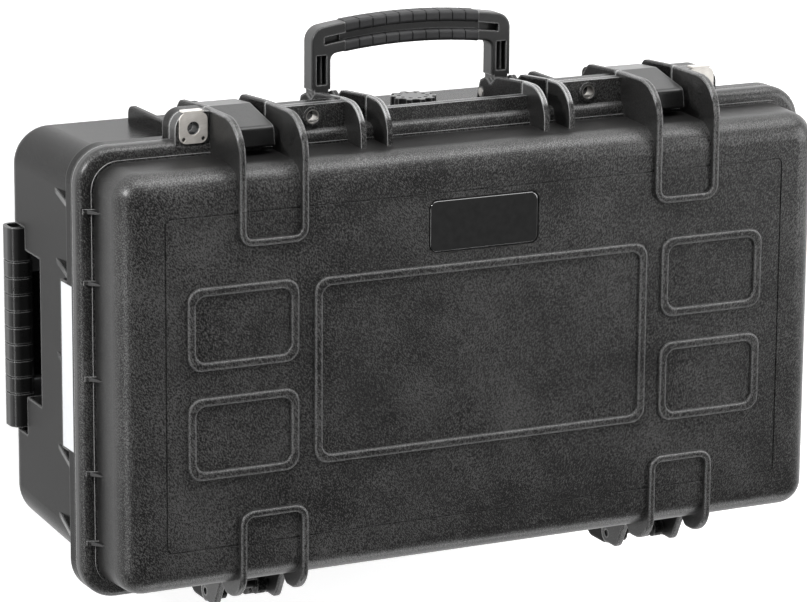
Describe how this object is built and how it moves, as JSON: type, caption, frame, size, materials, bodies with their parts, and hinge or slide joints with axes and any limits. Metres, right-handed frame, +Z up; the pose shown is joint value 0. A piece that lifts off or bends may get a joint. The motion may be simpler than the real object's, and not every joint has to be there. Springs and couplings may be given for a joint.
{
  "type": "hard case",
  "caption": "Wheeled hard case with a domed hinged lid, lever latches, a folding carry handle, a pressure valve and a telescopic pull handle.",
  "frame": {"origin": "floor point under the middle of the case's bounding box, case lying on its base with the lid up", "axes": "+X along the length towards the pull handle, -Y towards the latches and the carry handle, +Z up through the lid"},
  "size_m": [0.55, 0.3901, 0.224],
  "materials": {
    "shell": "textured",
    "latch_plastic": "satin",
    "handle_plastic": "satin",
    "grip_rubber": "soft matt",
    "seal_rubber": "matt",
    "foot_rubber": "matt",
    "tyre_rubber": "matt",
    "hub_plastic": "satin",
    "steel": "satin",
    "tube_aluminium": "anodised",
    "badge_gloss": "polished",
    "label_white": "satin"
  },
  "bodies": {
    "base": {"base_shell": "shell", "hinge_pin_left": "steel", "hinge_pin_right": "steel", "latch_pin_left": "steel", "latch_pin_right": "steel", "handle_pin_left": "steel", "handle_pin_right": "steel", "valve_body": "handle_plastic", "valve_seal": "seal_rubber", "valve_nut": "handle_plastic", "trolley_outer_tubes": "tube_aluminium", "trolley_tube_guides": "handle_plastic", "trolley_bezel": "handle_plastic", "trolley_rear_clamp": "handle_plastic", "trolley_cover": "shell", "trolley_cover_screws": "steel", "base_feet": "foot_rubber", "end_label": "label_white", "wheel_axle_left": "steel", "wheel_axle_right": "steel"},
    "lid": {"lid_shell": "shell", "lid_seal": "seal_rubber", "badge_plate": "badge_gloss", "padlock_plate_left": "steel", "padlock_plate_right": "steel", "padlock_bush_left": "steel", "padlock_bush_right": "steel"},
    "latch_left": {"latch_lever_left": "latch_plastic"},
    "latch_right": {"latch_lever_right": "latch_plastic"},
    "handle": {"carry_handle": "handle_plastic", "handle_grip_upper": "grip_rubber", "handle_grip_lower": "grip_rubber"},
    "valve_knob": {"valve_knob": "handle_plastic"},
    "trolley": {"trolley_inner_tubes": "tube_aluminium", "trolley_tube_glides": "handle_plastic", "trolley_grip_core": "handle_plastic", "trolley_grip_sleeve": "latch_plastic"},
    "wheel_left": {"wheel_tyre_left": "tyre_rubber", "wheel_hub_left": "hub_plastic"},
    "wheel_right": {"wheel_tyre_right": "tyre_rubber", "wheel_hub_right": "hub_plastic"}
  },
  "joints": [
    {"name": "lid_hinge", "type": "hinge", "parent": "base", "child": "lid", "pos_m": [0, 0.18255, 0.164], "axis": [-1, 0, 0], "range_deg": [0, 105]},
    {"name": "latch_left_swing", "type": "hinge", "parent": "base", "child": "latch_left", "pos_m": [0.156, -0.14045, 0.132], "axis": [1, 0, 0], "range_deg": [0, 100]},
    {"name": "latch_right_swing", "type": "hinge", "parent": "base", "child": "latch_right", "pos_m": [-0.156, -0.14045, 0.132], "axis": [1, 0, 0], "range_deg": [0, 100]},
    {"name": "handle_fold", "type": "hinge", "parent": "base", "child": "handle", "pos_m": [0, -0.13295, 0.104], "axis": [1, 0, 0], "range_deg": [0, 90]},
    {"name": "valve_turn", "type": "hinge", "parent": "base", "child": "valve_knob", "pos_m": [0, -0.12945, 0.1125], "axis": [0, -1, 0], "range_deg": [0, 180]},
    {"name": "trolley_slide", "type": "slide", "parent": "base", "child": "trolley", "axis": [1, 0, 0], "range_m": [0, 0.365]},
    {"name": "wheel_left_spin", "type": "hinge", "parent": "base", "child": "wheel_left", "pos_m": [-0.245, 0.12855, 0.027], "axis": [0, 1, 0], "continuous": true},
    {"name": "wheel_right_spin", "type": "hinge", "parent": "base", "child": "wheel_right", "pos_m": [-0.245, -0.08745, 0.027], "axis": [0, 1, 0], "continuous": true}
  ]
}
